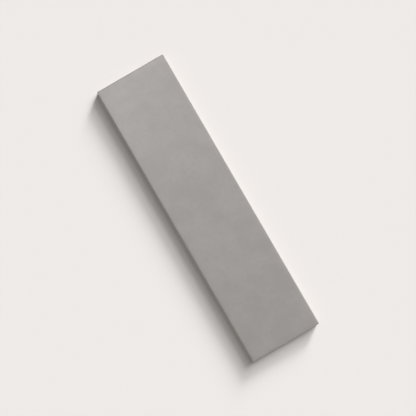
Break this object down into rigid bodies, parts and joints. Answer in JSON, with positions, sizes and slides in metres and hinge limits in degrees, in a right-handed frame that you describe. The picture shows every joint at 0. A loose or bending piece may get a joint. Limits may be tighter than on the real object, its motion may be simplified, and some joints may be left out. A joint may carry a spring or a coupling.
{
  "type": "ceramic tile",
  "caption": "Long rectangular ceramic wall tile with a satin warm-grey glaze, eased face edges and a keyed back, for laying in herringbone or bond.",
  "frame": {"origin": "centre of the tile's outline, in the bedding plane of its back", "axes": "+X along the length, +Y across the width, +Z out of the glazed face"},
  "size_m": [0.298, 0.073, 0.008],
  "materials": {
    "grey_glaze": "satin"
  },
  "bodies": {
    "root": {"ceramic_tile": "grey_glaze"}
  },
  "joints": []
}
